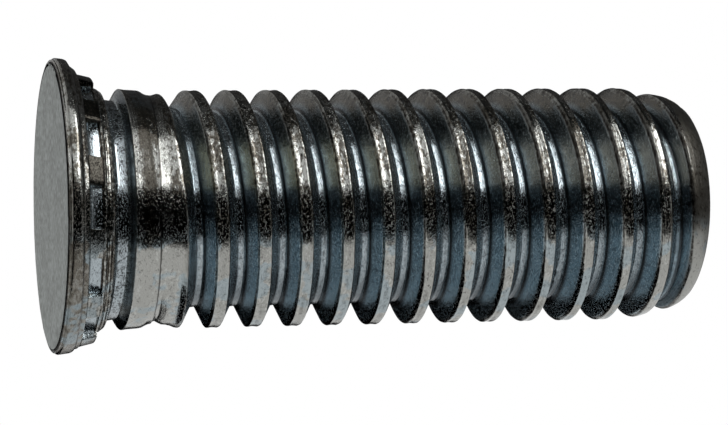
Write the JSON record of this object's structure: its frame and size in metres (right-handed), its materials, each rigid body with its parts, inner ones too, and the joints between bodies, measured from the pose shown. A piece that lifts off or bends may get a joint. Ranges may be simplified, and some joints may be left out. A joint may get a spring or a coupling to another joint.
{
  "type": "self-clinching stud",
  "caption": "Flush-head self-clinching stud: thin round head, ring of ribs, clinch groove and a metric threaded shank with a chamfered tip.",
  "frame": {"origin": "on the shank axis, at the flat face of the head", "axes": "+Z along the shank, from the head to the tip; the disc of the head is 0.10 mm off the axis towards -X; +X is where the thread groove reaches full depth"},
  "size_m": [0.0071, 0.007, 0.0159],
  "materials": {
    "zinc_plate": "bright zinc plating with a cool grey-blue cast, browner and pitted on rim and crests"
  },
  "bodies": {
    "root": {"stud": "zinc_plate"}
  },
  "joints": []
}
